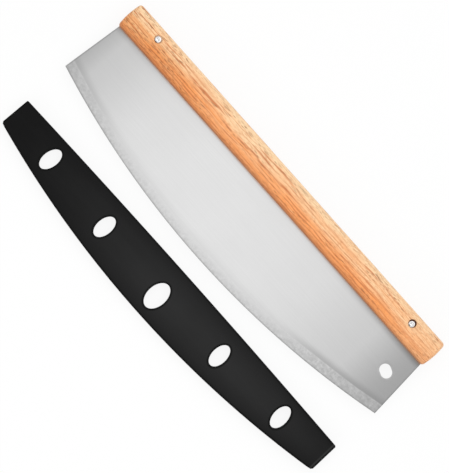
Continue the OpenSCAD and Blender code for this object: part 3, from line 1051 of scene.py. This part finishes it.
def corners_off(points):
    """Rounds the corners seen from the front: within a corner's square, a point goes from its place
    between the square's sides to the same place between the square's inner corner and an arc."""
    x, y, z = np.moveaxis(points, -1, 0)
    to_end = SHEATH_END - (y - BELLY_END_Y) * SHEATH_LEAN - np.abs(x)
    for way, line, round_r in ((1, belly_at(x), 2.1), (-1, top_at(x), np.where(x > 0, 1.0, 0.6))):
        over_end = np.maximum(round_r - to_end, 0)
        over_line = np.maximum(round_r - way * (y - line), 0)
        keep = np.maximum(over_end, over_line) / np.maximum(np.hypot(over_end, over_line), 1e-9)
        x = x - np.sign(x) * over_end * (1 - keep)
        y = y + way * over_line * (1 - keep)
    return np.stack([x, y, z], axis=-1)


def rib_share(x, y):
    """How far the slot's wall stands in towards the blade: 1 on a rib, and 0 beside and beyond it."""
    along = sum(np.clip((RIB_BASE - np.abs(np.abs(x) - middle)) / RIB_SLOPE, 0, 1) for middle in RIBS)
    ends = np.clip((y - RIB_LOW_Y) / RIB_RUN_OUT, 0, 1) * np.clip((RIB_HIGH_Y - y) / RIB_RUN_OUT, 0, 1)
    return along * ends


def sheath_skins(outer, inner):
    """The skin and the slot, each mirrored to the left, with the grip ribs on the slot's walls. The skin's
    ends are rounded by 0.65 mm on the walls, by 1 mm above and below and by 0.25 mm inside the lip."""
    by_side = outer[:, 3] ** 2
    facing_out = np.sign(outer[:, 4] * np.where(np.abs(outer[:, 2]) > 0, np.sign(outer[:, 2]), 1))
    outer_round = (0.45 + 0.2 * facing_out) * (1 - by_side) + by_side
    outer_round[[0, -1]] = SLOT_END_ROUND
    halves = carried(outer, outer_round), carried(inner, SLOT_END_ROUND)
    skin, slot = (np.concatenate([(half * (-1, 1, 1))[:0:-1], half]) for half in halves)
    slot[:, 0] = skin[:, 0]
    slot[:, -1] = skin[:, -1]
    on_wall = np.abs(inner[:, 4]) > 0.99
    ribs = rib_share(slot[..., 0], slot[..., 1]) * on_wall * RIB_STAND
    slot[..., 2] -= ribs * np.sign(slot[..., 2])
    return corners_off(skin) + (0, 0, MID_Z), corners_off(slot) + (0, 0, MID_Z)


def window_rings(spot, width, tall, face, edge, slot_edge):
    """Rings of an oval from the skin over a rounded rim and through the wall to the slot. The radius in
    each direction is one over the root of (cos / half width) squared plus (sin / half height) squared."""
    angles = angles_about(spot, edge)
    turn = WINDOW_FAN * spot[0]
    radius = 1 / np.hypot(np.cos(angles - turn) / (width / 2), np.sin(angles - turn) / (tall / 2))
    out_z = MID_Z + face * WALL_OUT
    in_z = MID_Z + face * WALL_IN
    start = around(spot, radius + WINDOW_RIM, angles, out_z)
    rings = [(edge + start) / 2, start]
    for sine, cosine in quarter(4):
        down = WINDOW_RIM * (1 - cosine)
        rings.append(around(spot, radius + WINDOW_RIM * (1 - sine), angles, out_z - face * down))
    for sine, cosine in np.vstack([[0, 1], quarter(2)]):
        up = SLOT_RIM * (1 - sine)
        rings.append(around(spot, radius + SLOT_RIM * (1 - cosine), angles, in_z + face * up))
    rings.append((rings[-1] + slot_edge) / 2)
    return rings


def sheath_shell():
    """The skin and the slot, joined by rungs across the ends and by rings through the windows."""
    shell = Shell()
    outer, inner, wall_first = sheath_sections()
    wall_last = wall_first + WALL_STEPS
    skin, slot = sheath_skins(outer, inner)
    skin_rows = shell.place(skin)
    slot_rows = shell.place(slot)
    for end in (0, -1):
        rung = np.linspace(0, 1, 4)[:, None, None]
        shell.skin(shell.place(skin[end] * (1 - rung) + slot[end] * rung))

    blocks = []
    last_column = len(outer) - 1
    for place_x, width, tall in WINDOWS:
        spot = (place_x, window_y(place_x))
        reach_x = width / 2 + WINDOW_ROOM[0]
        reach_y = tall / 2 + WINDOW_ROOM[1]
        row_x = skin[:, wall_first + 1, 0]
        rows = (np.searchsorted(row_x, place_x - reach_x) - 1, np.searchsorted(row_x, place_x + reach_x))
        both_y = np.stack([grid[sum(rows) // 2, wall_first:wall_last, 1] for grid in (skin, slot)])
        first = wall_first + np.count_nonzero(both_y.min(axis=0) > spot[1] + reach_y) - 1
        last = wall_last - np.count_nonzero(both_y.max(axis=0) < spot[1] - reach_y)
        for face in (1, -1):
            columns = sorted(column if face > 0 else last_column - column for column in (first, last))
            block = (*rows, *columns)
            blocks.append(block)
            from_skin = border(skin_rows, block)
            from_slot = border(slot_rows, block)
            edge = skin.reshape(-1, 3)[from_skin]
            slot_edge = slot.reshape(-1, 3)[from_slot - slot_rows[0, 0]]
            shell.bridge(from_skin, window_rings(spot, width, tall, face, edge, slot_edge), from_slot)
    shell.skin(skin_rows, blocks)
    shell.skin(slot_rows, blocks)
    return shell


black_sheath = sheath_shell().piece("black_sheath", crease=38)
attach(black_sheath, "sheath")
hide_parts("sheath")


def oval_group():
    """Distance outside an oval, near enough: with the place over the half sizes as q, and q over them again
    as g, it is |q| times (|q| - 1) over |g|."""
    tree, given = effect("outside_oval", X=0.0, Y=0.0, Turn=0.0, Half_Width=1.0, Half_Height=1.0)
    off = place_step("SUBTRACT", given["Place"], place_of(given["X"], given["Y"]))
    turned_back = node(tree, "ShaderNodeVectorRotate", {"Vector": off, "Angle": times(given["Turn"], -1.0)})
    size = place_of(given["Half Width"], given["Half Height"], 1.0)
    q = place_step("DIVIDE", turned_back.outputs[0], size)
    length = place_step("LENGTH", q)
    steep = place_step("LENGTH", place_step("DIVIDE", q, size))
    return give(tree, "Distance", over(times(length, minus(length, 1.0)), steep))


outside_oval = oval_group()


def sheath_material():
    """Black moulded plastic with a satin spark-eroded tooth, faint flow streaks and soft handling marks. A
    painted highlight makes it paler along the middle of the wall, as share times one less share of the
    way down, and paler from the left end towards the middle. Its rims round the outline and the windows
    are smoother and carry painted shade, and a painted pale highlight runs down the right end."""
    material, shader, place = new_material("black_moulding")
    x, y = parts_of(place)[:2]
    side = size_of(x)
    to_belly = minus(BELLY_R, hypotenuse(x, minus(BELLY_MID_Y, y)))
    to_top = minus(times_plus(times(x, x), -1 / TOP_SAG, TOP_Y), y)
    to_end = minus(times_plus(y, -SHEATH_LEAN, SHEATH_END + BELLY_END_Y * SHEATH_LEAN), side)

    # Distance to the nearest rim. As side is |x|, the windows of the right half stand for all
    nearest = least(least(to_belly, to_top), to_end)
    level = place_of(side, y)
    for place_x, width, tall in WINDOWS[2:]:
        gap = use(outside_oval, level, X=place_x, Y=window_y(place_x), Turn=WINDOW_FAN * place_x,
                  Half_Width=width / 2, Half_Height=tall / 2)
        nearest = least(nearest, gap)
    rim = ramp(nearest, 2.1, 0.9)

    flow = use(drawn_streaks, place, Length=60.0, Width=9.0, Detail=2.0)
    handled = use(soft_patches, place, Size=30.0, Contrast=0.22)
    tooth = use(fine_tooth, place, Size=0.3)
    # Painted highlight: worn rises from the left end to the middle and falls a little towards the right end
    worn = least(ramp(x, -178.0, 20.0), ramp(x, 245.0, 90.0))
    # Painted highlight along the middle of the wall, by share and inner
    share = over(to_top, plus(to_top, to_belly), clamp=True)
    inner = times_plus(times(share, minus(1.0, share)), 3.0, 0.25)
    shade = times_plus(flow, 0.25, times(handled, 0.12))
    shade = times_plus(worn, 0.85, minus(shade, 0.18), clamp=True)

    # The painted highlights lift the colour, together with the flow streaks and handling marks
    colour = blend(times(shade, inner), (0.0025, 0.0025, 0.0026), (0.0215, 0.0215, 0.0217))
    colour = blend(times(ramp(tooth, 0.45, 0.7), 0.12), colour, grey(0.03))
    # Painted shade on the rims round the outline and the windows
    colour = blend(times(rim, 0.9), colour, grey(0.0006))
    # Painted pale highlight down the right end
    end_glint = times(ramp(to_end, 3.2, 2.2), ramp(to_end, 1.1, 1.8))
    end_glint = times(end_glint, ramp(x, 100.0, 160.0, 0.0, 0.6))
    colour = blend(end_glint, colour, grey(0.036))

    rough = times_plus(handled, 0.07, times_plus(tooth, 0.16, 0.42))
    surface(shader, colour, times_plus(rim, -0.12, rough), tooth, 0.02, Specular_IOR_Level=0.1)
    return material


black_sheath.data.materials.append(sheath_material())


# Table: a plain white board that the handle's back and the sheath's belly rim rest on. It leans a little,
# because the handle is thicker than the sheath.

REST_HANDLE = (-5.0, 0.0)
REST_SHEATH = (-145.6, 6.8)
BOARD_GAP = 0.2
BOARD_HALF = 4000.0


def table_height(y):
    """Height of the board: straight through the two lines that it carries, and a hair below them."""
    slope = (REST_SHEATH[1] - REST_HANDLE[1]) / (REST_SHEATH[0] - REST_HANDLE[0])
    return REST_HANDLE[1] + slope * (y - REST_HANDLE[0]) - BOARD_GAP


def table_board():
    """A grid over x and y whose height is the leaning plane, wide enough to fill every view."""
    shell = Shell()
    places = np.linspace(-BOARD_HALF, BOARD_HALF, 33)
    x, y = np.meshgrid(places, places, indexing="ij")
    shell.skin(shell.place(np.stack([x, y, table_height(y)], axis=-1)))
    return shell.piece("white_board")


def board_material():
    """White laminate with a trace of tooth and unevenness. What the camera and gloss see of it is lifted to
    the white of the background, and the soft shadow on it stays."""
    material, shader, place = new_material("white_laminate")
    patch = use(soft_patches, place, Size=300.0, Contrast=0.3)
    tooth = use(fine_tooth, place, Size=1.5)
    surface(shader, blend(patch, grey(0.90), grey(0.92)), times_plus(tooth, 0.1, 0.6), tooth, 0.02)
    tree = material.node_tree
    seen_by = node(tree, "ShaderNodeLightPath").outputs
    seen = most(seen_by["Is Camera Ray"], seen_by["Is Glossy Ray"])
    glow = node(tree, "ShaderNodeEmission", {"Color": grey(1.0), "Strength": 1.0})
    lifted = node(tree, "ShaderNodeMixShader", {
        0: times(seen, 0.88), 1: shader.outputs[0], 2: glow.outputs[0]})
    feed(tree.nodes["Material Output"].inputs["Surface"], lifted.outputs[0])
    return material


board = table_board()
board.data.materials.append(board_material())


# Studio: a pale room with three lamps: a soft box straight above that the steel mirrors, a broad light
# from beyond the handle's top, and a weak one from low down on the sheath's side.

def soft_light(name, place, target, wide, deep, power):
    """A rectangular lamp at a place in mm that faces a target."""
    lamp = bpy.data.lights.new(name, "AREA")
    lamp.shape = "RECTANGLE"
    lamp.size = wide * MM
    lamp.size_y = deep * MM
    lamp.energy = power
    holder = bpy.data.objects.new(name, lamp)
    bpy.context.scene.collection.objects.link(holder)
    holder.location = np.array(place) * MM
    aim = np.array(target, float) - place
    holder.rotation_euler = Vector(aim).to_track_quat("-Z", "Y").to_euler()
    holder.visible_camera = False


soft_light("top_box", (-25, -70, 420), (-25, -70, 0), 300, 420, 0.165)
soft_light("key_light", (350, 1900, 2250), (0, -30, 0), 3800, 2600, 30)
soft_light("low_fill", (0, -1500, 900), (0, 0, 0), 1500, 600, 5)

world = bpy.data.worlds.new("pale_room")
bpy.context.scene.world = world
world.use_nodes = True
room = world.node_tree
to_camera = node(room, "ShaderNodeLightPath").outputs["Is Camera Ray"]
lit = node(room, "ShaderNodeBackground", {"Color": grey(1.0), "Strength": 0.75})
shown = node(room, "ShaderNodeBackground", {"Color": grey(1.0), "Strength": 1.0})
pick = node(room, "ShaderNodeMixShader", {0: to_camera, 1: lit.outputs[0], 2: shown.outputs[0]})
feed(room.nodes["World Output"].inputs["Surface"], pick.outputs[0])


# Camera: straight above, turned so that the handle runs down to the right.

VIEW_MIDDLE = (0.48, -58.59)
VIEW_HEIGHT = 2416.5
VIEW_TURN = 48.3

lens = bpy.data.cameras.new("copy_stand")
lens.lens = 240
lens.sensor_width = 36
camera = bpy.data.objects.new("copy_stand", lens)
bpy.context.scene.collection.objects.link(camera)
camera.location = np.array([*VIEW_MIDDLE, VIEW_HEIGHT]) * MM
camera.rotation_euler = (0, 0, math.radians(VIEW_TURN))
bpy.context.scene.camera = camera
bpy.context.scene.view_settings.view_transform = "Standard"
